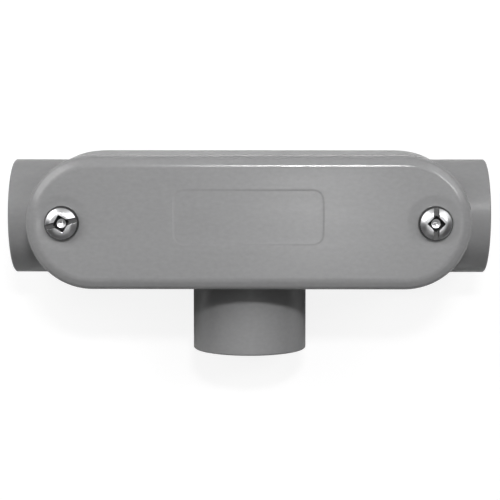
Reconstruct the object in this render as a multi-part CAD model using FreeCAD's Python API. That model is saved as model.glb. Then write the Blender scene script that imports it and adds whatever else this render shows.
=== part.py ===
# Type T conduit body for rigid PVC conduit of 21.3 mm outside diameter (trade size 1/2).
#
# The housing is one moulding: a deep trough with rounded ends, a socket hub at each end of
# the run and a third hub on one side for the branch.  A domed cover closes the trough.  It
# seats on an elastic gasket and two pan-head screws hold it down, each in a blind boss that
# stands on the tube of a run hub.
#
# Frame: millimetres.  X is the axis of the run, the branch leaves along -Y and the cover
# faces +Z.  The origin is on the flat back, under the point where run and branch cross.
import FreeCAD, Part
import math
import os

from FreeCAD import Vector

X_AXIS = Vector(1, 0, 0)
Y_AXIS = Vector(0, 1, 0)
Z_AXIS = Vector(0, 0, 1)

# ---- Driving dimensions ---------------------------------------------------------------

# Conduit sockets.  The conduit is glued in and stops against the shoulder of the throat.
CONDUIT_RADIUS = 10.67
SOCKET_CLEARANCE = 0.13
SOCKET_DEPTH = 16.0
THROAT_RADIUS = 8.9
THROAT_LENGTH = 2.0
THROAT_CHAMFER = 0.8
HUB_WALL = 2.7
HUB_CHAMFER = 0.25

# Overall layout.
RUN_LENGTH = 112.0
HUB_STANDS_OUT = 5.1
BRANCH_REACH = 31.9
BACK_STANDS_PROUD = 0.4

# Box of the housing.  The mould parts at the hub axes, where the box is widest.
BOX_SHOULDER = 2.1
BOX_BACK_BEVELS = ((4.2, 0), (1.2, 1.4), (0, 4.6))  # (inset from the side, height)
FLOOR_THICKNESS = 3.1
DRAFT = math.radians(1.2)
RIM_WALL = 2.8
RIM_LIP_THICKNESS = 0.75
SEAT_DEPTH = 1.0

# Screw bosses in the housing.
BOSS_RISE = 5.6
BOSS_RADIUS = 3.7
BOSS_FROM_END_CENTRE = 6.7
BOSS_WEB_THICKNESS = 2.2
BOSS_HOLE_DEPTH = 6.9

# Cover.
COVER_GAP = 0.15
COVER_HEIGHT = 5.0
COVER_EDGE_BEVELS = ((0, 1.9), (0.35, 1.15), (1.1, 0.45), (2.6, 0))  # (inset, drop)
COVER_PLATE = 2.3
COVER_LIP_THICKNESS = 1.2
COVER_LIP_CLEARANCE = 0.2
COVER_LIP_REACH = 1.7
COVER_PAD_RADIUS = 4.5
COVER_HOLE_CLEARANCE = 0.2
DISH_DEPTH = 0.25
DISH_SLOPE_WIDTH = 1.9
DISH_MARGIN = 0.35
PANEL_LENGTH = 33.8
PANEL_WIDTH = 12.3
PANEL_CORNER = 2.4
PANEL_OFFSET = 1.3
PANEL_DEPTH = 0.12

# Gasket.  Its thickness, as compressed under the cover, follows from the seat.
GASKET_SIDE_CLEARANCE = 0.12

# Pan-head screws, No. 8, with a combined slot and square drive.
SCREW_RADIUS = 2.08
SCREW_LENGTH = 11.1
SCREW_RUNNING_CLEARANCE = 0.06
HEAD_RADIUS = 3.9
HEAD_SIDE_HEIGHT = 0.9
HEAD_SHOULDER_RADIUS = 3.5
HEAD_SHOULDER_HEIGHT = 1.7
HEAD_CROWN_RADIUS = 2.4
HEAD_HEIGHT = 2.4
SLOT_WIDTH = 1.3
SLOT_DEPTH = 1.0
SQUARE_DRIVE = 2.87
SQUARE_DRIVE_DEPTH = 1.7
SLOT_ANGLE_LEFT = 14.0
SLOT_ANGLE_RIGHT = 90.0

# ---- Sizes and places that follow -----------------------------------------------------

SOCKET_RADIUS = CONDUIT_RADIUS + SOCKET_CLEARANCE
HUB_RADIUS = SOCKET_RADIUS + HUB_WALL
AXIS_Z = HUB_RADIUS + BACK_STANDS_PROUD
BOX_RADIUS = HUB_RADIUS + BOX_SHOULDER
BOX_LENGTH = RUN_LENGTH - 2 * HUB_STANDS_OUT
END_CENTRE_X = BOX_LENGTH / 2 - BOX_RADIUS
TUBE_END_X = RUN_LENGTH / 2 - SOCKET_DEPTH - THROAT_LENGTH
RIM_Z = AXIS_Z + HUB_RADIUS + BOSS_RISE
SEAT_Z = RIM_Z - SEAT_DEPTH


def box_half_width(z):
    """Outer half width of the drafted box at height z."""
    return BOX_RADIUS - abs(z - AXIS_Z) * math.tan(DRAFT)


RIM_RADIUS = box_half_width(RIM_Z)
MOUTH_RADIUS = RIM_RADIUS - RIM_WALL
SEAT_RADIUS = RIM_RADIUS - RIM_LIP_THICKNESS
SCREW_X = END_CENTRE_X + BOSS_FROM_END_CENTRE
COVER_BASE_Z = RIM_Z + COVER_GAP
COVER_FACE_Z = COVER_BASE_Z + COVER_HEIGHT
SCREW_SEAT_Z = COVER_FACE_Z - DISH_DEPTH
SCREW_HOLE_RADIUS = SCREW_RADIUS + SCREW_RUNNING_CLEARANCE
OVERSHOOT = 1.0

# ---- Shared ways of making a shape ----------------------------------------------------


def upright_face(points):
    """Flat face in the XZ plane from its (u, z) corners."""
    corners = [Vector(u, 0, z) for u, z in points]
    return Part.Face(Part.makePolygon(corners + corners[:1]))


def obround(points):
    """Carries a half section round an obround: straight along X, and turned at each end."""
    section = upright_face(points)
    section.rotate(Vector(), Z_AXIS, 90)
    section.translate(Vector(END_CENTRE_X, 0, 0))
    right_end = section.revolve(Vector(END_CENTRE_X, 0, 0), Z_AXIS, -180)
    far_side = section.extrude(Vector(-2 * END_CENTRE_X, 0, 0))
    left_end = right_end.mirror(Vector(), X_AXIS)
    near_side = far_side.mirror(Vector(), Y_AXIS)
    return right_end.fuse([far_side, left_end, near_side]).removeSplitter()


def turned(points, base, direction):
    """Turns an (r, s) half section about the line from base along direction."""
    solid = upright_face(points).revolve(Vector(), Z_AXIS, 360)
    if direction != Z_AXIS:
        turn = math.degrees(Z_AXIS.getAngle(direction))
        solid.rotate(Vector(), Z_AXIS.cross(direction), turn)
    solid.translate(base)
    return solid


# ---- Housing --------------------------------------------------------------------------

# Of each hub: the centre of its mouth, the direction inward, and the depth of its bore.
HUB_MOUTHS = (
    (Vector(-RUN_LENGTH / 2, 0, AXIS_Z), X_AXIS, SOCKET_DEPTH + THROAT_LENGTH),
    (Vector(RUN_LENGTH / 2, 0, AXIS_Z), -X_AXIS, SOCKET_DEPTH + THROAT_LENGTH),
    (Vector(0, -BRANCH_REACH, AXIS_Z), Y_AXIS, BRANCH_REACH - MOUTH_RADIUS),
)


def box_outside():
    """Drafted box, with its back edge bevelled and its rim left sharp for the cover."""
    back_edge = [(box_half_width(height) - inset, height) for inset, height in BOX_BACK_BEVELS]
    return obround([(0, 0)] + back_edge + [(BOX_RADIUS, AXIS_Z), (RIM_RADIUS, RIM_Z), (0, RIM_Z)])


def hub_outside(mouth, inward):
    """Tube of a hub from its mouth to the crossing of the axes, solid for now."""
    length = abs(mouth.dot(inward))
    return turned([
        (0, 0),
        (HUB_RADIUS - HUB_CHAMFER, 0),
        (HUB_RADIUS, HUB_CHAMFER),
        (HUB_RADIUS, length),
        (0, length),
    ], mouth, inward)


def hub_bore(mouth, inward, depth):
    """Socket, the stop shoulder, and the throat that opens with a chamfer into the trough."""
    flare = THROAT_RADIUS + THROAT_CHAMFER
    return turned([
        (0, -OVERSHOOT),
        (SOCKET_RADIUS, -OVERSHOOT),
        (SOCKET_RADIUS, SOCKET_DEPTH),
        (THROAT_RADIUS, SOCKET_DEPTH),
        (THROAT_RADIUS, depth - THROAT_CHAMFER),
        (flare, depth),
        (flare, depth + OVERSHOOT),
        (0, depth + OVERSHOOT),
    ], mouth, inward)


def run_tube(side):
    """Tube of a run hub carried on into the trough, solid down to the floor under it."""
    start = Vector(side * TUBE_END_X, 0, AXIS_Z)
    tube = Part.makeCylinder(HUB_RADIUS, BOX_LENGTH / 2, start, X_AXIS * side)
    footing = Part.makeBox(
        BOX_LENGTH / 2,
        2 * BOX_RADIUS,
        AXIS_Z,
        Vector(min(start.x, start.x + side * BOX_LENGTH / 2), -BOX_RADIUS, 0),
    )
    return tube.fuse(footing)


def boss(side):
    """Screw boss on the tube of a run hub, tied to the end wall by a low web."""
    foot_z = AXIS_Z + HUB_RADIUS / 2
    tower = Part.makeCylinder(BOSS_RADIUS, RIM_Z - foot_z, Vector(side * SCREW_X, 0, foot_z))
    web_top = SEAT_Z - COVER_LIP_REACH
    web = Part.makeBox(
        BOX_LENGTH / 2 - SCREW_X,
        BOSS_WEB_THICKNESS,
        web_top - foot_z,
        Vector(min(side * SCREW_X, side * BOX_LENGTH / 2), -BOSS_WEB_THICKNESS / 2, foot_z),
    )
    return tower.fuse(web)


def housing():
    """The moulded housing: box and hubs, cored out, with the bores and screw holes."""
    outside = box_outside()
    outside = outside.fuse([hub_outside(mouth, inward) for mouth, inward, _ in HUB_MOUTHS])

    trough = obround([
        (0, FLOOR_THICKNESS),
        (MOUTH_RADIUS, FLOOR_THICKNESS),
        (MOUTH_RADIUS, SEAT_Z),
        (SEAT_RADIUS, SEAT_Z),
        (SEAT_RADIUS, RIM_Z + OVERSHOOT),
        (0, RIM_Z + OVERSHOOT),
    ])
    kept_inside = []
    for side in (-1, 1):
        kept_inside.append(run_tube(side))
        kept_inside.append(boss(side))
    core = trough.cut(kept_inside)

    bores = [hub_bore(mouth, inward, depth) for mouth, inward, depth in HUB_MOUTHS]
    screw_holes = [
        Part.makeCylinder(
            SCREW_HOLE_RADIUS,
            BOSS_HOLE_DEPTH + OVERSHOOT,
            Vector(side * SCREW_X, 0, RIM_Z - BOSS_HOLE_DEPTH),
        )
        for side in (-1, 1)
    ]
    return outside.cut([core] + bores + screw_holes).removeSplitter()


# ---- Gasket ---------------------------------------------------------------------------


def gasket():
    """Flat obround ring on the seat inside the rim."""
    outer = SEAT_RADIUS - GASKET_SIDE_CLEARANCE
    inner = MOUTH_RADIUS + GASKET_SIDE_CLEARANCE
    return obround([
        (inner, SEAT_Z),
        (outer, SEAT_Z),
        (outer, COVER_BASE_Z),
        (inner, COVER_BASE_Z),
    ])


# ---- Cover ----------------------------------------------------------------------------


def cover_half_width(drop):
    """Outer half width of the drafted skirt at a drop below the face."""
    return RIM_RADIUS - (COVER_HEIGHT - drop) * math.tan(DRAFT)


def cover():
    """Moulded cover: crowned plate, skirt flush with the box, and a lip inside the mouth."""
    lip_base_z = SEAT_Z - COVER_LIP_REACH + COVER_LIP_CLEARANCE
    lip_outer = MOUTH_RADIUS - COVER_LIP_CLEARANCE
    lip_inner = lip_outer - COVER_LIP_THICKNESS
    plate_z = COVER_FACE_Z - COVER_PLATE
    crown = [(cover_half_width(drop) - inset, COVER_FACE_Z - drop) for inset, drop in COVER_EDGE_BEVELS]
    shell = obround([
        (0, plate_z),
        (lip_inner, plate_z),
        (lip_inner, lip_base_z),
        (lip_outer, lip_base_z),
        (lip_outer, COVER_BASE_Z),
        (RIM_RADIUS, COVER_BASE_Z),
    ] + crown + [(0, COVER_FACE_Z)])
    pads = []
    cuts = [panel_recess()]
    for side in (-1, 1):
        pad_base = Vector(side * SCREW_X, 0, COVER_BASE_Z)
        pads.append(Part.makeCylinder(COVER_PAD_RADIUS, plate_z - COVER_BASE_Z, pad_base))
        cuts.append(screw_passage(side))
    return shell.fuse(pads).removeSplitter().cut(cuts)


def screw_passage(side):
    """Clearance hole through the cover, with the shallow dish that the head sits in."""
    hole_radius = SCREW_RADIUS + COVER_HOLE_CLEARANCE
    flat_radius = HEAD_RADIUS + DISH_MARGIN
    depth = SCREW_SEAT_Z - COVER_BASE_Z
    return turned([
        (0, -depth - OVERSHOOT),
        (hole_radius, -depth - OVERSHOOT),
        (hole_radius, 0),
        (flat_radius, 0),
        (flat_radius + DISH_SLOPE_WIDTH, DISH_DEPTH),
        (flat_radius + DISH_SLOPE_WIDTH, DISH_DEPTH + OVERSHOOT),
        (0, DISH_DEPTH + OVERSHOOT),
    ], Vector(side * SCREW_X, 0, SCREW_SEAT_Z), Z_AXIS)


def panel_recess():
    """Shallow rounded rectangle that a marking insert of the mould leaves in the face."""
    block = Part.makeBox(
        PANEL_LENGTH,
        PANEL_WIDTH,
        PANEL_DEPTH + OVERSHOOT,
        Vector(-PANEL_LENGTH / 2, PANEL_OFFSET - PANEL_WIDTH / 2, COVER_FACE_Z - PANEL_DEPTH),
    )
    upright = [edge for edge in block.Edges if edge.tangentAt(edge.FirstParameter).z**2 > 0.5]
    return block.makeFillet(PANEL_CORNER, upright)


# ---- Screws ---------------------------------------------------------------------------


def screw(side, slot_angle):
    """Pan-head screw.  The shank is a plain cylinder at the crest radius of the thread."""
    blank = turned([
        (0, -SCREW_LENGTH),
        (SCREW_RADIUS, -SCREW_LENGTH),
        (SCREW_RADIUS, 0),
        (HEAD_RADIUS, 0),
        (HEAD_RADIUS, HEAD_SIDE_HEIGHT),
        (HEAD_SHOULDER_RADIUS, HEAD_SHOULDER_HEIGHT),
        (HEAD_CROWN_RADIUS, HEAD_HEIGHT),
        (0, HEAD_HEIGHT),
    ], Vector(), Z_AXIS)
    slot = Part.makeBox(
        2 * HEAD_RADIUS + OVERSHOOT,
        SLOT_WIDTH,
        SLOT_DEPTH + OVERSHOOT,
        Vector(-HEAD_RADIUS - OVERSHOOT / 2, -SLOT_WIDTH / 2, HEAD_HEIGHT - SLOT_DEPTH),
    )
    square = Part.makeBox(
        SQUARE_DRIVE,
        SQUARE_DRIVE,
        SQUARE_DRIVE_DEPTH + OVERSHOOT,
        Vector(-SQUARE_DRIVE / 2, -SQUARE_DRIVE / 2, HEAD_HEIGHT - SQUARE_DRIVE_DEPTH),
    )
    square.rotate(Vector(), Z_AXIS, 45)
    solid = blank.cut([slot, square])
    solid.rotate(Vector(), Z_AXIS, slot_angle)
    solid.translate(Vector(side * SCREW_X, 0, SCREW_SEAT_Z))
    return solid


# ---- Export ---------------------------------------------------------------------------

os.makedirs("parts", exist_ok=True)
PIECES = {
    "housing": housing(),
    "gasket": gasket(),
    "cover": cover(),
    "screw_left": screw(-1, SLOT_ANGLE_LEFT),
    "screw_right": screw(1, SLOT_ANGLE_RIGHT),
}
for name, shape in PIECES.items():
    shape.exportStep("parts/" + name + ".step")
    print(name, "valid", shape.isValid(), "solids", len(shape.Solids), "mm3", round(shape.Volume, 1))
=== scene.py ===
"""Looks of a Type T conduit body: grey PVC housing and cover, foam gasket and two plated screws.

Lengths are in metres.  Places are worked out from the boxes of the frame's nodes.
"""

import math

import bpy
import numpy as np
from mathutils import Matrix, Vector


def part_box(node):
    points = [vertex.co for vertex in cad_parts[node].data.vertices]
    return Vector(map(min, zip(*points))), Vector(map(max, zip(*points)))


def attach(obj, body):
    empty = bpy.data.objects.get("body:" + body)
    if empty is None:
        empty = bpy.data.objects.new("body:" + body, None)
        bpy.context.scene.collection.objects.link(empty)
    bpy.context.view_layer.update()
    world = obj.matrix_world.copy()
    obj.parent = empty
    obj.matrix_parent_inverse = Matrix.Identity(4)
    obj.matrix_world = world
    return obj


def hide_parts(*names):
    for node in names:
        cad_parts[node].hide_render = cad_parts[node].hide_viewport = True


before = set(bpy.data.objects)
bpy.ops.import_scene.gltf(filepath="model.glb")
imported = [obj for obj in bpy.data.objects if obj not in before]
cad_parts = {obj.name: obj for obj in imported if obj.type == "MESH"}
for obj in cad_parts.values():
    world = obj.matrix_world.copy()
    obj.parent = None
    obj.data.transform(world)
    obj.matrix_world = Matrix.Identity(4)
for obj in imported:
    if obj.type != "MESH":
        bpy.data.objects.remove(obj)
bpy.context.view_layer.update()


# ==== Housing ==========================================================================
# The housing is one injection moulding of grey rigid PVC: a trough with three socket hubs.
# The steel mould leaves a satin skin with a very fine grain, and the flow of the melt
# leaves a faint cloudiness in the grey.

HOUSING_GREY = (0.285, 0.285, 0.288, 1.0)
HOUSING_GLOSS = {"Roughness": 0.30, "Specular IOR Level": 0.35}
HOUSING_EDGE = 0.0003


def moulded_skin_group():
    """Skin of moulded PVC on Object coordinates.

    Tone is one plus soft clouds, stretched along the flow, and a fine mottling.  Height is
    fine grain.  Shine is the roughness, uneven in the clouds and in faint streaks along X.
    """
    group = bpy.data.node_groups.new("moulded_skin", "ShaderNodeTree")
    sockets = group.interface
    for name, value in (("Clouds", 0.1), ("Grain", 0.1), ("Streaks", 0.0), ("Roughness", 0.3)):
        socket = sockets.new_socket(name, in_out="INPUT", socket_type="NodeSocketFloat")
        socket.default_value = value
    for name in ("Tone", "Height", "Shine"):
        sockets.new_socket(name, in_out="OUTPUT", socket_type="NodeSocketFloat")
    nodes = group.nodes
    link = group.links.new
    given = nodes.new("NodeGroupInput")
    result = nodes.new("NodeGroupOutput")
    place = nodes.new("ShaderNodeTexCoord")

    def stretched(share):
        """Place with X scaled down to a share, so that what is drawn on it is long in X."""
        mapping = nodes.new("ShaderNodeMapping")
        mapping.inputs["Scale"].default_value = (share, 1.0, 1.0)
        link(place.outputs["Object"], mapping.inputs["Vector"])
        return mapping.outputs["Vector"]

    def noise(scale, detail, source):
        """Noise texture on a place."""
        texture = nodes.new("ShaderNodeTexNoise")
        texture.inputs["Scale"].default_value = scale
        texture.inputs["Detail"].default_value = detail
        link(source, texture.inputs["Vector"])
        return texture.outputs["Fac"]

    def math_node(operation, first, second, third=None):
        """Math node on numbers or sockets."""
        node = nodes.new("ShaderNodeMath")
        node.operation = operation
        for index, value in enumerate((first, second, third)):
            if value is None:
                continue
            if isinstance(value, (int, float)):
                node.inputs[index].default_value = value
            else:
                link(value, node.inputs[index])
        return node.outputs[0]

    noise_middle = 0.5
    mottle_weight = 1.3
    cloud_shine = 0.05
    soft = noise(scale=90.0, detail=3.0, source=stretched(0.45))
    clouds = math_node("SUBTRACT", soft, noise_middle)
    fine = noise(scale=1100.0, detail=2.0, source=stretched(0.7))
    mottle = math_node("SUBTRACT", fine, noise_middle)
    blend = math_node("MULTIPLY_ADD", mottle, mottle_weight, clouds)
    link(math_node("MULTIPLY_ADD", blend, given.outputs["Clouds"], 1.0), result.inputs["Tone"])
    grain = noise(scale=5200.0, detail=2.0, source=place.outputs["Object"])
    link(math_node("MULTIPLY", grain, given.outputs["Grain"]), result.inputs["Height"])
    drawn = noise(scale=2400.0, detail=2.0, source=stretched(0.02))
    lines = math_node("SUBTRACT", drawn, noise_middle)
    worn = math_node("MULTIPLY_ADD", clouds, cloud_shine, given.outputs["Roughness"])
    link(math_node("MULTIPLY_ADD", lines, given.outputs["Streaks"], worn), result.inputs["Shine"])
    return group


MOULDED_SKIN = moulded_skin_group()


def pvc(name, grey, gloss, clouds, streaks, edge_radius):
    """Grey PVC with the moulded skin.  Given an edge radius, a Bevel node rounds the look of
    sharp edges."""
    material = bpy.data.materials.new(name)
    material.use_nodes = True
    nodes = material.node_tree.nodes
    link = material.node_tree.links.new
    shader = nodes["Principled BSDF"]
    shader.inputs["Roughness"].default_value = gloss["Roughness"]
    shader.inputs["Specular IOR Level"].default_value = gloss["Specular IOR Level"]
    skin = nodes.new("ShaderNodeGroup")
    skin.node_tree = MOULDED_SKIN
    skin.inputs["Clouds"].default_value = clouds
    skin.inputs["Streaks"].default_value = streaks
    skin.inputs["Roughness"].default_value = gloss["Roughness"]
    tint = nodes.new("ShaderNodeMix")
    tint.data_type = "RGBA"
    tint.blend_type = "MULTIPLY"
    tint.inputs["Factor"].default_value = 1.0
    tint.inputs["A"].default_value = grey
    link(skin.outputs["Tone"], tint.inputs["B"])
    link(tint.outputs["Result"], shader.inputs["Base Color"])
    link(skin.outputs["Shine"], shader.inputs["Roughness"])
    bump = nodes.new("ShaderNodeBump")
    bump.inputs["Strength"].default_value = 0.12
    bump.inputs["Distance"].default_value = 0.00004
    link(skin.outputs["Height"], bump.inputs["Height"])
    link(bump.outputs["Normal"], shader.inputs["Normal"])
    if edge_radius > 0:
        soft_edge = nodes.new("ShaderNodeBevel")
        soft_edge.samples = 8
        soft_edge.inputs["Radius"].default_value = edge_radius
        link(soft_edge.outputs["Normal"], bump.inputs["Normal"])
    return material


def give(node, material):
    """Puts a material into every slot of a frame node, and leaves its mesh as it is."""
    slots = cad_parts[node].data.materials
    if not slots:
        slots.append(material)
    for index in range(len(slots)):
        slots[index] = material


HOUSING_PVC = pvc(
    "housing_pvc", HOUSING_GREY, HOUSING_GLOSS, clouds=0.12, streaks=0.0, edge_radius=HOUSING_EDGE
)
give("housing", HOUSING_PVC)


# ==== Gasket ===========================================================================
# The gasket is a die-cut ring of black closed-cell foam.  It lies on the seat inside the
# rim and is pressed flat by the cover.


def closed_cell_foam():
    """Matt black foam rubber with fine pores."""
    material = bpy.data.materials.new("gasket_foam")
    material.use_nodes = True
    nodes = material.node_tree.nodes
    link = material.node_tree.links.new
    shader = nodes["Principled BSDF"]
    shader.inputs["Base Color"].default_value = (0.03, 0.03, 0.03, 1.0)
    shader.inputs["Roughness"].default_value = 0.85
    place = nodes.new("ShaderNodeTexCoord")
    pores = nodes.new("ShaderNodeTexVoronoi")
    pores.inputs["Scale"].default_value = 2600.0
    bump = nodes.new("ShaderNodeBump")
    bump.inputs["Strength"].default_value = 0.5
    bump.inputs["Distance"].default_value = 0.0001
    link(place.outputs["Object"], pores.inputs["Vector"])
    link(pores.outputs["Distance"], bump.inputs["Height"])
    link(bump.outputs["Normal"], shader.inputs["Normal"])
    return material


give("gasket", closed_cell_foam())


# ==== Cover ============================================================================
# The cover is a thin PVC moulding with a skirt, a lip that drops inside the rim, and a face
# that falls away softly at its edge.  The face is dished round each screw and has a shallow
# plain panel in the middle.

cover_low, cover_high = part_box("cover")
COVER_RADIUS = cover_high.y
COVER_END_X = cover_high.x - COVER_RADIUS
FACE_Z = cover_high.z
COVER_HEIGHT = 0.005
SKIRT_Z = FACE_Z - COVER_HEIGHT
SKIRT_DRAFT = math.tan(math.radians(1.2))
SKIRT_ROUND = 0.0002
BROW_WIDTH = 0.0022
BROW_DROP = 0.00103
EDGE_ROUND = 0.0016
BROW_ROUND = 0.0030
FACE_MARGIN = 0.0009
PLATE = 0.0023
LIP_INSET = 0.0030
LIP_WALL = 0.0012
LIP_ROUND = 0.00035
LIP_OUTER = COVER_RADIUS - LIP_INSET
LIP_INNER = LIP_OUTER - LIP_WALL
PAD_RADIUS = 0.0045
PAD_EDGE = 0.0002
PAD_IN_PLATE = 0.0002
PAD_STEPS = 96
SCREW_HOLE = 0.00228
DISH_FLOOR = 0.00425
DISH_SLOPE = 0.0024
DISH_DEPTH = 0.00025
PANEL_HALF = (0.0169, 0.00615)
PANEL_CORNER = 0.0024
PANEL_MIDDLE = (0.0, 0.0013)
PANEL_DEPTH = 0.00005
PANEL_EDGE = 0.0006

screw_low, screw_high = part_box("screw_right")
SCREW_X = (screw_low.x + screw_high.x) / 2
SCREW_SEAT = FACE_Z - DISH_DEPTH


def rounded_outline(corners, points_per_arc=8):
    """Open outline through (u, z, radius) corners, as an array of points.

    At a corner with a radius the outline runs along the arc that touches both sides: its
    points turn evenly about the arc's centre, which lies on the bisector of the corner.
    """
    places = np.array([corner[:2] for corner in corners], float)
    pieces = [places[:1]]
    for before, corner, after, spec in zip(places, places[1:], places[2:], corners[1:]):
        radius = spec[2]
        if radius <= 0:
            pieces.append(corner[None])
            continue
        back = (before - corner) / np.linalg.norm(before - corner)
        ahead = (after - corner) / np.linalg.norm(after - corner)
        half = math.acos(np.clip(back @ ahead, -1, 1)) / 2
        bisector = (back + ahead) / np.linalg.norm(back + ahead)
        centre = corner + bisector * radius / math.sin(half)
        start = corner + back * radius / math.tan(half) - centre
        end = corner + ahead * radius / math.tan(half) - centre
        share = np.linspace(0, 1, points_per_arc)[:, None]
        turn = math.pi - 2 * half
        arc = (np.sin((1 - share) * turn) * start + np.sin(share * turn) * end) / math.sin(turn)
        pieces.append(centre + arc)
    pieces.append(places[-1:])
    return np.concatenate(pieces)


def grid_faces(rows, columns, offset=0, closed_rows=False):
    """Quads of a grid of points stored row by row.  The last row may join the first."""
    down = np.arange(rows if closed_rows else rows - 1)[:, None]
    across = np.arange(columns - 1)[None, :]
    here = down * columns + across
    below = ((down + 1) % rows) * columns + across
    return np.stack([here, below, below + 1, here + 1], -1).reshape(-1, 4) + offset


def surface_object(name, patches, smooth_angle=35.0):
    """One mesh from (points, faces) patches.  Points that meet are made one, and a quad that
    shuts to a line is left out.  Shading is smooth except across sharper edges."""
    points = np.concatenate([np.reshape(patch[0], (-1, 3)) for patch in patches])
    starts = np.cumsum([0] + [np.reshape(patch[0], (-1, 3)).shape[0] for patch in patches])
    faces = np.concatenate([patch[1] + start for patch, start in zip(patches, starts)])
    _, first, same = np.unique(np.round(points, 8), axis=0, return_index=True, return_inverse=True)
    points = points[first]
    faces = same.reshape(-1)[faces]
    corners = [list(dict.fromkeys(face)) for face in faces.tolist()]
    mesh = bpy.data.meshes.new(name)
    mesh.from_pydata(points, [], [corner for corner in corners if len(corner) > 2])
    mesh.shade_smooth()
    mesh.set_sharp_from_angle(angle=math.radians(smooth_angle))
    piece = bpy.data.objects.new(name, mesh)
    bpy.context.scene.collection.objects.link(piece)
    return piece


def round_stations(end_x, end_nodes, side_x):
    """Stations once round an obround, from the right end's top, clockwise seen from above.

    Each is a place on the middle line and an outward direction: square to X along the two
    straight sides, and fanned evenly about each end's centre.
    """
    fan = np.linspace(math.pi / 2, -math.pi / 2, end_nodes)
    right = np.stack([np.full(end_nodes, end_x), np.zeros(end_nodes), np.cos(fan), np.sin(fan)], -1)
    left = right * (-1, 1, -1, -1)
    count = len(side_x)
    lower = np.stack([side_x[::-1], np.zeros(count), np.zeros(count), -np.ones(count)], -1)
    upper = np.stack([side_x, np.zeros(count), np.zeros(count), np.ones(count)], -1)
    return np.concatenate([right, lower[1:-1], left, upper[1:-1]])


def carried_round(stations, outline):
    """Surface of an outline carried round an obround: a station's place, plus its direction
    times the outline's reach, at the outline's height."""
    middle = stations[:, None, 0:2]
    outward = stations[:, None, 2:4]
    flat = middle + outward * outline[None, :, 0:1]
    height = np.broadcast_to(outline[None, :, 1:2], flat.shape[:2] + (1,))
    return np.concatenate([flat, height], -1)


def between(loop, inner, steps):
    """Surface between two loops of points, straight from one to the other."""
    share = np.linspace(0, 1, steps)[None, :, None]
    return loop[:, None, :] * (1 - share) + inner[:, None, :] * share


def circle_towards(loop, centre, radius):
    """Circle about a centre, with one point on the way to each point of a loop."""
    away = loop[:, :2] - centre
    away /= np.linalg.norm(away, axis=1, keepdims=True)
    ring = np.array(centre) + away * radius
    return np.concatenate([ring, loop[:, 2:]], 1)


def dished(points):
    """Lowers the face's points near a screw: by the whole depth within the dish's floor, and
    by a share that eases out in an S (3t squared less 2t cubed) across its slope."""
    reach = np.hypot(np.abs(points[..., 0]) - SCREW_X, points[..., 1])
    share = np.clip((reach - DISH_FLOOR) / DISH_SLOPE, 0, 1)
    on_face = points[..., 2] > FACE_Z - PLATE / 2
    lowered = points.copy()
    lowered[..., 2] -= DISH_DEPTH * (1 - share * share * (3 - 2 * share)) * on_face
    return lowered


def panel_loop(offset, side, end):
    """Rounded rectangle round the panel, grown by an offset, clockwise from its upper right
    corner's middle: each side has a half corner, a straight run and a half corner."""
    half_x, half_y = PANEL_HALF[0] - PANEL_CORNER, PANEL_HALF[1] - PANEL_CORNER
    radius = PANEL_CORNER + offset
    corner_points = 7
    lean = np.linspace(math.pi / 4, 0, corner_points)
    counts = (end, side, end, side)
    spans = (half_y, half_x, half_y, half_x)
    corners = ((half_x, half_y), (half_x, -half_y), (-half_x, -half_y), (-half_x, half_y))
    loop = []
    for index, (count, span) in enumerate(zip(counts, spans)):
        facing = -index * math.pi / 2
        start = np.array(corners[index])
        along = np.array([math.sin(facing), -math.cos(facing)])
        outward = np.array([math.cos(facing), math.sin(facing)])
        first = start + radius * np.stack([np.cos(facing + lean), np.sin(facing + lean)], -1)
        run = np.linspace(0, 2 * span, count + 3 - 2 * corner_points)[1:-1, None]
        middle = start + outward * radius + along * run
        last = start + along * 2 * span
        last = last + radius * np.stack([np.cos(facing - lean[::-1]), np.sin(facing - lean[::-1])], -1)
        loop.append(np.concatenate([first, middle, last])[:-1])
    return np.concatenate(loop) + np.array(PANEL_MIDDLE)


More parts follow.
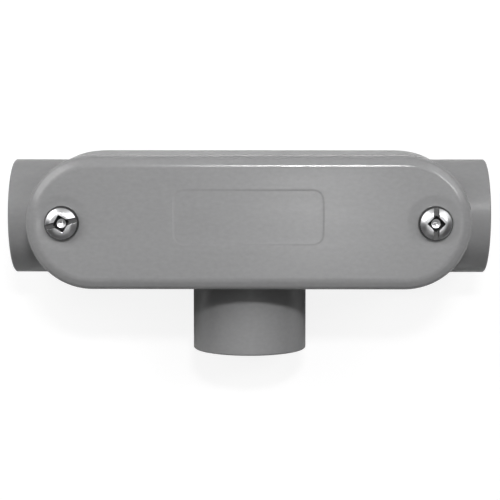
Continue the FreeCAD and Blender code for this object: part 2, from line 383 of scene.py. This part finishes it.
def cover_piece():
    """The whole cover.

    The outer and inner skins are one outline carried round the obround.  The face is closed
    by a half disc of rays about each screw, and by rings between the middle rectangle and
    the step of the panel.  The underside is closed in the same way, without the panel.
    """
    brow_z = FACE_Z - BROW_DROP
    brow_u = COVER_RADIUS - (COVER_HEIGHT - BROW_DROP) * SKIRT_DRAFT
    face_u = brow_u - BROW_WIDTH - FACE_MARGIN
    plate_z = FACE_Z - PLATE
    corners = [
        (LIP_INNER, plate_z, 0),
        (LIP_INNER, cover_low.z, LIP_ROUND),
        (LIP_OUTER, cover_low.z, LIP_ROUND),
        (LIP_OUTER, SKIRT_Z, 0),
        (COVER_RADIUS, SKIRT_Z, SKIRT_ROUND),
        (brow_u, brow_z, EDGE_ROUND),
        (brow_u - BROW_WIDTH, FACE_Z, BROW_ROUND),
        (face_u, FACE_Z, 0),
    ]
    outline = rounded_outline(corners, points_per_arc=16)
    side, end, fan = 60, 40, 97
    disc_rings, outer_rings, floor_rings, step_rings = 44, 8, 4, 9
    side_x = np.linspace(-COVER_END_X, COVER_END_X, side + 1)
    stations = round_stations(COVER_END_X, fan, side_x)
    skin = carried_round(stations, outline)
    patches = [(dished(skin), grid_faces(*skin.shape[:2], closed_rows=True)[:, ::-1])]

    def raised(loop, z):
        """Flat loop put at a height."""
        return np.concatenate([loop, np.full((len(loop), 1), z)], 1)

    def end_disc(radius, z, sign):
        """Half disc about the right or left end's centre, pierced by the screw's hole."""
        turn = np.linspace(math.pi / 2, -math.pi / 2, fan)
        rim = np.stack([COVER_END_X + radius * np.cos(turn), radius * np.sin(turn)], -1)
        chord_y = np.linspace(-radius, radius, end + 1)[1:-1]
        chord = np.stack([np.full(end - 1, COVER_END_X), chord_y], -1)
        loop = raised(np.concatenate([rim, chord]), z)
        hole = circle_towards(loop, (SCREW_X, 0.0), SCREW_HOLE)
        return between(loop, hole, disc_rings) * (sign, 1, 1)

    for sign in (1, -1):
        top = dished(end_disc(face_u, FACE_Z, sign))
        under = end_disc(LIP_INNER, plate_z, sign)
        faces = grid_faces(*top.shape[:2], closed_rows=True)
        wall = np.stack([top[:, -1], under[:, -1]], 1)
        wall_faces = grid_faces(*wall.shape[:2], closed_rows=True)
        outward = sign > 0
        patches.append((top, faces[:, ::-1] if outward else faces))
        patches.append((under, faces if outward else faces[:, ::-1]))
        patches.append((wall, wall_faces[:, ::-1] if outward else wall_faces))

        turn = np.linspace(0, 2 * math.pi, PAD_STEPS + 1)[:-1, None]
        pad_top = plate_z + PAD_IN_PLATE
        pad_r = np.array([SCREW_HOLE, PAD_RADIUS - PAD_EDGE, PAD_RADIUS, PAD_RADIUS, SCREW_HOLE])
        pad_z = np.array([SKIRT_Z, SKIRT_Z, SKIRT_Z + PAD_EDGE, pad_top, pad_top])
        pad_r = np.append(pad_r, pad_r[0])
        pad_z = np.append(pad_z, pad_z[0])
        pad = np.stack([
            sign * SCREW_X + pad_r * np.cos(turn),
            pad_r * np.sin(turn),
            np.broadcast_to(pad_z, (PAD_STEPS, len(pad_z))),
        ], -1)
        patches.append((pad, grid_faces(*pad.shape[:2], closed_rows=True)))

    def rectangle(z, radius):
        """Middle rectangle's loop, clockwise from its upper right corner."""
        edge_y = np.linspace(radius, -radius, end + 1)[:-1]
        edge_x = side_x[::-1][:-1]
        right = np.stack([np.full(end, COVER_END_X), edge_y], -1)
        lower = np.stack([edge_x, np.full(side, -radius)], -1)
        return raised(np.concatenate([right, lower, -right, -lower]), z)

    outer = rectangle(FACE_Z, face_u)
    step = np.linspace(0, 1, step_rings)
    ease = step * step * (3 - 2 * step)
    rings = [
        raised(panel_loop(PANEL_EDGE * (0.5 - t), side, end), FACE_Z - PANEL_DEPTH * e)
        for t, e in zip(step, ease)
    ]
    centre_line = raised(panel_loop(0, side, end), FACE_Z - PANEL_DEPTH)
    centre_line[:, 1] = PANEL_MIDDLE[1]
    line_end = PANEL_HALF[0] - PANEL_HALF[1]
    centre_line[:, 0] = np.clip(centre_line[:, 0], -line_end, line_end)
    panel = np.concatenate([
        between(outer, rings[0], outer_rings)[:, :-1],
        np.stack(rings, 1),
        between(rings[-1], centre_line, floor_rings)[:, 1:],
    ], 1)
    patches.append((panel, grid_faces(*panel.shape[:2], closed_rows=True)[:, ::-1]))

    under_loop = rectangle(plate_z, LIP_INNER)
    under_line = under_loop * (1, 0, 1)
    under_end = COVER_END_X - LIP_INNER
    under_line[:, 0] = np.clip(under_line[:, 0], -under_end, under_end)
    under = between(under_loop, under_line, 3)
    patches.append((under, grid_faces(*under.shape[:2], closed_rows=True)))
    return surface_object("cover_shell", patches)


COVER_GREY = (0.297, 0.297, 0.300, 1.0)
COVER_GLOSS = {"Roughness": 0.19, "Specular IOR Level": 0.47}
COVER_PVC = pvc("cover_pvc", COVER_GREY, COVER_GLOSS, clouds=0.14, streaks=0.16, edge_radius=0)

cover = cover_piece()
cover.data.materials.append(COVER_PVC)
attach(cover, "cover")
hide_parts("cover")


# ==== Screws ===========================================================================
# Two No. 8 pan-head machine screws of zinc-plated steel.  The head is upset in a die, and a
# punch strikes the slot and the square drive.  The crown is bright zinc.  Painted shade darkens
# the zinc on the head's low side and the slot's floor, and makes the walls of slot and drive
# near black.  The thread is rolled.

HEAD_RADIUS = screw_high.y
HEAD_HEIGHT = screw_high.z - SCREW_SEAT
SHANK_LENGTH = SCREW_SEAT - screw_low.z
HEAD_SIDE = 0.0009
SEAT_ROUND = 0.0001
SIDE_ROUND = 0.0004
SHOULDER_RADIUS = 0.0035
SHOULDER_HEIGHT = 0.0017
SHOULDER_ROUND = 0.0003
CROWN_RADIUS = 0.0023
CROWN_ROUND = 0.0018
# Height under which the head's side takes the darker zinc of painted shade.
PAINTED_SHADE_BELOW = 0.00145
HEAD_STEPS = 144
CREST_RADIUS = 0.00208
ROOT_RADIUS = 0.00158
POINT_INSET = 0.0003
THREAD_PITCH = 0.000794
THREAD_SWING = 0.72
THREAD_IN_HEAD = 0.0004
SLOT_WIDTH = 0.0013
SLOT_DEPTH = 0.0009
SLOT_FLOOR_SHARE = 0.82
SLOT_MOUTH_SHARE = 1.1
BLADE_ABOVE = 0.0005
BLADE_REACH = 0.006
SQUARE_SIDE = 0.00295
SQUARE_CORNER = 0.00010
SQUARE_DEPTH = 0.00165
FOOT_RADIUS = 0.00102
FOOT_CONE = 0.00022
DENT_PLACES = ((-0.00036, 0.00022), (0.00030, 0.00036), (0.00034, -0.00016))
DENT_DEPTH = 0.00022
DENT_RADIUS = 0.00017
SLOT_ANGLES = {"screw_left": 14.0, "screw_right": 90.0}


def turned_surface(outline, steps):
    """Outline of (radius, height) points turned once about Z."""
    turn = np.linspace(0, 2 * math.pi, steps + 1)[:-1, None]
    radius = outline[None, :, 0]
    height = np.broadcast_to(outline[None, :, 1], (steps, len(outline)))
    points = np.stack([radius * np.cos(turn), radius * np.sin(turn), height], -1)
    return points, grid_faces(steps, len(outline), closed_rows=True)


def head_blank():
    """Pan head before it is struck: a low side, a steep shoulder and a flatter crown."""
    corners = [
        (0.0, 0.0, 0),
        (HEAD_RADIUS, 0.0, SEAT_ROUND),
        (HEAD_RADIUS, HEAD_SIDE, SIDE_ROUND),
        (SHOULDER_RADIUS, SHOULDER_HEIGHT, SHOULDER_ROUND),
        (CROWN_RADIUS, HEAD_HEIGHT, CROWN_ROUND),
        (0.0, HEAD_HEIGHT, 0),
    ]
    return turned_surface(rounded_outline(corners, points_per_arc=12), HEAD_STEPS)


def square_drive():
    """Punch of the square recess: a square, cornerwise to the slot, that narrows to a circle.

    A point at the share s of the depth has the square's radius times one less s cubed, plus
    the foot's radius times s cubed.  The foot is a shallow cone with three small dents.  The
    punch starts above the head, at a share below nought, so that it cuts the mouth cleanly.
    """
    turn = np.linspace(0, 2 * math.pi, HEAD_STEPS + 1)[:-1]
    folded = np.abs((turn + math.pi / 4) % (math.pi / 2) - math.pi / 4)
    inner = SQUARE_SIDE / 2 - SQUARE_CORNER
    along = inner * (np.cos(folded) + np.sin(folded))
    reach = along + np.sqrt(np.maximum(SQUARE_CORNER**2 - 2 * inner**2 + along**2, 0))
    in_flat = folded < math.atan2(inner, SQUARE_SIDE / 2)
    square = np.where(in_flat, SQUARE_SIDE / 2 / np.cos(folded), reach)
    levels = np.array([-0.35, 0.0, 0.25, 0.5, 0.75, 0.92, 1.0])
    blend = np.clip(levels, 0, 1) ** 3
    across = np.cos(turn + math.pi / 4)[:, None]
    up = np.sin(turn + math.pi / 4)[:, None]
    radius = square[:, None] * (1 - blend) + FOOT_RADIUS * blend
    height = np.broadcast_to(HEAD_HEIGHT - levels * SQUARE_DEPTH, radius.shape)
    walls = np.stack([radius * across, radius * up, height], -1)
    lid = walls[:, :1] * (0, 0, 1)
    share = np.linspace(1, 0, 16)[1:]
    foot_x = FOOT_RADIUS * share * across
    foot_y = FOOT_RADIUS * share * up
    foot_z = HEAD_HEIGHT - SQUARE_DEPTH - FOOT_CONE * (1 - share) + 0 * foot_x
    for dent_x, dent_y in DENT_PLACES:
        away = ((foot_x - dent_x) ** 2 + (foot_y - dent_y) ** 2) / DENT_RADIUS**2
        foot_z -= DENT_DEPTH * np.exp(-away) * (share < 1)
    foot = np.stack([foot_x, foot_y, foot_z], -1)
    points = np.concatenate([lid, walls, foot], 1)
    return points, grid_faces(*points.shape[:2], closed_rows=True)[:, ::-1]


def slot_blade():
    """Punch of the slot: a bar across the head with a slightly wider mouth than floor."""
    floor = HEAD_HEIGHT - SLOT_DEPTH
    top = HEAD_HEIGHT + BLADE_ABOVE
    low_half = SLOT_WIDTH / 2 * SLOT_FLOOR_SHARE
    high_half = SLOT_WIDTH / 2 * SLOT_MOUTH_SHARE
    section = np.array([(-low_half, floor), (low_half, floor), (high_half, top), (-high_half, top)])
    ends = np.array([-BLADE_REACH, BLADE_REACH])
    points = np.empty((2, 4, 3))
    points[:, :, 0] = ends[:, None]
    points[:, :, 1] = section[None, :, 0]
    points[:, :, 2] = section[None, :, 1]
    sides = [[i, (i + 1) % 4, (i + 1) % 4 + 4, i + 4] for i in range(4)]
    return points, np.array(sides + [[3, 2, 1, 0], [4, 5, 6, 7]])


def thread_surface():
    """Rolled thread: the radius rises and falls once a pitch as the turn goes up.

    With p the height in pitches less the share of a turn, the radius is the root plus the
    thread's depth times a wave: a half and a swing of the cosine of p, cut off at nought and
    one.  Over the first pitch above the point the thread grows and the root widens.  The
    thread ends inside the head.
    """
    steps = 48
    rows_per_pitch = 14
    rows = int(SHANK_LENGTH / THREAD_PITCH * rows_per_pitch)
    turn = np.linspace(0, 2 * math.pi, steps + 1)[:-1, None]
    height = np.linspace(-SHANK_LENGTH, THREAD_IN_HEAD, rows)[None, :]
    phase = height / THREAD_PITCH - turn / (2 * math.pi)
    wave = np.clip(0.5 + THREAD_SWING * np.cos(2 * math.pi * phase), 0, 1)
    start = np.clip((height + SHANK_LENGTH) / THREAD_PITCH, 0, 1)
    radius = ROOT_RADIUS + (CREST_RADIUS - ROOT_RADIUS) * wave * start
    radius = radius - POINT_INSET * (1 - start)
    points = np.stack([radius * np.cos(turn), radius * np.sin(turn), height + 0 * radius], -1)
    points = np.concatenate([points[:, :1] * (0, 0, 1), points, points[:, -1:] * (0, 0, 1)], 1)
    return points, grid_faces(*points.shape[:2], closed_rows=True)


def struck(blank, punches):
    """Blank with each punch's shape taken out of it, as one mesh.  What a punch leaves has
    the punch's material."""
    for punch in punches:
        cut = blank.modifiers.new("strike", "BOOLEAN")
        cut.operation = "DIFFERENCE"
        cut.solver = "EXACT"
        cut.material_mode = "TRANSFER"
        cut.object = punch
    evaluated = blank.evaluated_get(bpy.context.evaluated_depsgraph_get())
    solid = bpy.data.meshes.new_from_object(evaluated)
    for used in [blank] + punches:
        bpy.data.objects.remove(used)
    return solid


def zinc(name, colour, shine_from, shine_to, relief):
    """Zinc on steel with an uneven shine: fine marks lift the roughness and the surface."""
    material = bpy.data.materials.new(name)
    material.use_nodes = True
    nodes = material.node_tree.nodes
    link = material.node_tree.links.new
    shader = nodes["Principled BSDF"]
    shader.inputs["Base Color"].default_value = colour
    shader.inputs["Metallic"].default_value = 1.0
    place = nodes.new("ShaderNodeTexCoord")
    marks = nodes.new("ShaderNodeTexNoise")
    marks.inputs["Scale"].default_value = 1400.0
    marks.inputs["Detail"].default_value = 3.0
    shine = nodes.new("ShaderNodeMapRange")
    shine.inputs["To Min"].default_value = shine_from
    shine.inputs["To Max"].default_value = shine_to
    soft_edge = nodes.new("ShaderNodeBevel")
    soft_edge.samples = 8
    soft_edge.inputs["Radius"].default_value = 0.00008
    bump = nodes.new("ShaderNodeBump")
    bump.inputs["Strength"].default_value = relief
    bump.inputs["Distance"].default_value = 0.00004
    link(place.outputs["Object"], marks.inputs["Vector"])
    link(marks.outputs["Fac"], shine.inputs["Value"])
    link(shine.outputs["Result"], shader.inputs["Roughness"])
    link(marks.outputs["Fac"], bump.inputs["Height"])
    link(soft_edge.outputs["Normal"], bump.inputs["Normal"])
    link(bump.outputs["Normal"], shader.inputs["Normal"])
    return material


BRIGHT_ZINC = zinc("bright_zinc", (0.85, 0.85, 0.86, 1.0), 0.28, 0.40, relief=0.35)
# Painted shade: darker zinc for the head's low side and the slot's floor, where they lie in shade.
PAINTED_SHADE_ZINC = zinc("painted_shade_zinc", (0.15, 0.15, 0.15, 1.0), 0.35, 0.55, relief=0.6)
# Painted shade: near-black zinc for the walls of slot and square drive, where shade falls in the
# recesses.
PAINTED_DEEP_SHADE_ZINC = zinc("painted_deep_shade_zinc", (0.05, 0.05, 0.05, 1.0), 0.45, 0.65, relief=0.6)

for body, slot_angle in SLOT_ANGLES.items():
    node_low, node_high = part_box(body)
    place = Vector(((node_low.x + node_high.x) / 2, 0.0, SCREW_SEAT))
    blank = surface_object(body + "_blank", [head_blank()])
    blank.data.materials.append(BRIGHT_ZINC)
    blank.data.materials.append(PAINTED_SHADE_ZINC)
    # Painted shade: the faces of the head's low side take the darker zinc.
    for face in blank.data.polygons:
        face.material_index = int(face.center.z < PAINTED_SHADE_BELOW)
    blade = surface_object(body + "_blade", [slot_blade()])
    blade.data.materials.append(PAINTED_SHADE_ZINC)
    blade.data.materials.append(PAINTED_DEEP_SHADE_ZINC)
    # Painted shade: the slot's walls take the near-black zinc, and its floor takes the darker zinc.
    for face in blade.data.polygons:
        face.material_index = int(abs(face.normal.z) < 0.5)
    square = surface_object(body + "_square", [square_drive()])
    square.data.materials.append(PAINTED_DEEP_SHADE_ZINC)
    square.data.materials.append(BRIGHT_ZINC)
    # Painted shade: the drive's walls take the near-black zinc, and its foot takes the bright zinc.
    for face in square.data.polygons:
        face.material_index = int(face.center.z < HEAD_HEIGHT - SQUARE_DEPTH)
    head = struck(blank, [blade, square])
    head_part = bpy.data.objects.new(body + "_head", head)
    bpy.context.scene.collection.objects.link(head_part)
    screw = surface_object(body + "_body", [thread_surface()])
    screw.data.materials.append(BRIGHT_ZINC)
    with bpy.context.temp_override(
        active_object=screw, selected_editable_objects=[screw, head_part], object=screw
    ):
        bpy.ops.object.join()
    spin = Matrix.Rotation(math.radians(slot_angle), 4, "Z")
    screw.data.transform(Matrix.Translation(place) @ spin)
    screw.data.shade_smooth()
    screw.data.set_sharp_from_angle(angle=math.radians(32))
    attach(screw, body)
    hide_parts(body)


# ==== Table, lamps and camera ==========================================================
# The fitting lies on its back on a pale table and is seen from nearly straight above.  Two
# strip lamps light the cover's far edge, two soft boxes and three panels give the broad
# light, and one small lamp hangs nearly overhead.

TABLE_HALF = 12.0
TABLE_BOUNCE = 0.22
TABLE_IN_MIRROR = 0.78
TABLE_GLOW = 0.86

table_mesh = bpy.data.meshes.new("table")
table_mesh.from_pydata(
    [(x * TABLE_HALF, y * TABLE_HALF, 0) for x, y in ((-1, -1), (1, -1), (1, 1), (-1, 1))],
    [],
    [(0, 1, 2, 3)],
)
table = bpy.data.objects.new("table", table_mesh)
bpy.context.scene.collection.objects.link(table)


def pale_table():
    """Pale matt top.  It is white to the eye, white with its shadows in a reflection, and
    greyer as a source of bounced light."""
    material = bpy.data.materials.new("pale_table")
    material.use_nodes = True
    nodes = material.node_tree.nodes
    link = material.node_tree.links.new
    shader = nodes["Principled BSDF"]
    shader.inputs["Roughness"].default_value = 1.0
    shader.inputs["Specular IOR Level"].default_value = 0.0
    shader.inputs["Emission Color"].default_value = (1.0, 1.0, 1.0, 1.0)
    ray = nodes.new("ShaderNodeLightPath")
    reflected = nodes.new("ShaderNodeMath")
    reflected.operation = "MAXIMUM"
    tone = nodes.new("ShaderNodeMapRange")
    tone.inputs["To Min"].default_value = TABLE_BOUNCE
    tone.inputs["To Max"].default_value = TABLE_IN_MIRROR
    glow = nodes.new("ShaderNodeMath")
    glow.operation = "MULTIPLY"
    glow.inputs[1].default_value = TABLE_GLOW
    link(ray.outputs["Is Glossy Ray"], reflected.inputs[0])
    link(ray.outputs["Is Transmission Ray"], reflected.inputs[1])
    link(reflected.outputs[0], tone.inputs["Value"])
    link(tone.outputs["Result"], shader.inputs["Base Color"])
    link(ray.outputs["Is Camera Ray"], glow.inputs[0])
    link(glow.outputs[0], shader.inputs["Emission Strength"])
    return material


table_mesh.materials.append(pale_table())

AIM = Vector((0.0, 0.0, 0.033))


def lamp(name, azimuth, polar, distance, size, power):
    """Area lamp that faces the fitting from a direction.  The azimuth is measured from +X,
    the polar angle from straight up, and the first size lies level."""
    data = bpy.data.lights.new(name, "AREA")
    data.shape = "RECTANGLE"
    data.size, data.size_y = size
    data.energy = power
    turn, lean = math.radians(azimuth), math.radians(polar)
    away = Vector((math.sin(lean) * math.cos(turn), math.sin(lean) * math.sin(turn), math.cos(lean)))
    level = Vector((-math.sin(turn), math.cos(turn), 0))
    upward = away.cross(level)
    spin = Matrix((level, upward, away)).transposed().to_4x4()
    lamp_object = bpy.data.objects.new(name, data)
    lamp_object.matrix_world = Matrix.Translation(AIM + away * distance) @ spin
    lamp_object.visible_camera = False
    bpy.context.scene.collection.objects.link(lamp_object)
    return lamp_object


STRIP_POLAR = 23.5
STRIP_DISTANCE = 0.60
BOX_DISTANCE = 0.80

strip = lamp("strip_lamp", 90.0, STRIP_POLAR, STRIP_DISTANCE, size=(0.093, 0.04), power=1.28)
strip.location.x += 0.0370
far_strip = lamp("far_strip_lamp", 90.0, STRIP_POLAR, STRIP_DISTANCE, size=(0.38, 0.05), power=0.92)
far_strip.location.x += 0.45
lamp("back_panel", 90.0, 40.0, BOX_DISTANCE, size=(1.00, 0.40), power=0.66)
lamp("soft_box_left", 145.0, 56.0, BOX_DISTANCE, size=(0.50, 0.55), power=3.0)
lamp("soft_box_right", 35.0, 50.0, BOX_DISTANCE, size=(0.45, 0.40), power=1.12)
lamp("top_panel", 90.0, 2.0, BOX_DISTANCE, size=(0.90, 0.45), power=0.32)
lamp("front_panel", 270.0, 38.0, BOX_DISTANCE, size=(1.00, 0.50), power=0.46)
lamp("small_lamp", 315.0, 4.3, BOX_DISTANCE, size=(0.05, 0.08), power=0.10)


def studio_world():
    """Dim room round the table, which looks white where the eye meets it past the table."""
    world = bpy.data.worlds.new("studio")
    world.use_nodes = True
    nodes = world.node_tree.nodes
    link = world.node_tree.links.new
    ray = nodes.new("ShaderNodeLightPath")
    tone = nodes.new("ShaderNodeMapRange")
    tone.inputs["To Min"].default_value = 0.02
    tone.inputs["To Max"].default_value = 1.0
    link(ray.outputs["Is Camera Ray"], tone.inputs["Value"])
    link(tone.outputs["Result"], nodes["Background"].inputs["Color"])
    return world


scene = bpy.context.scene
scene.world = studio_world()
scene.view_settings.view_transform = "Standard"

camera_data = bpy.data.cameras.new("camera")
camera_data.lens = 110.97
camera_data.sensor_width = 36.0
camera = bpy.data.objects.new("camera", camera_data)
scene.collection.objects.link(camera)
camera_place = Vector((0.0042, 0.0266, 0.3833))
forward = Vector((-0.0111, -0.0941, -0.9957)).normalized()
right = forward.cross(Vector((0, 1, 0))).normalized()
camera.matrix_world = Matrix.Translation(camera_place) @ Matrix(
    (right, right.cross(forward), -forward)
).transposed().to_4x4()
scene.camera = camera
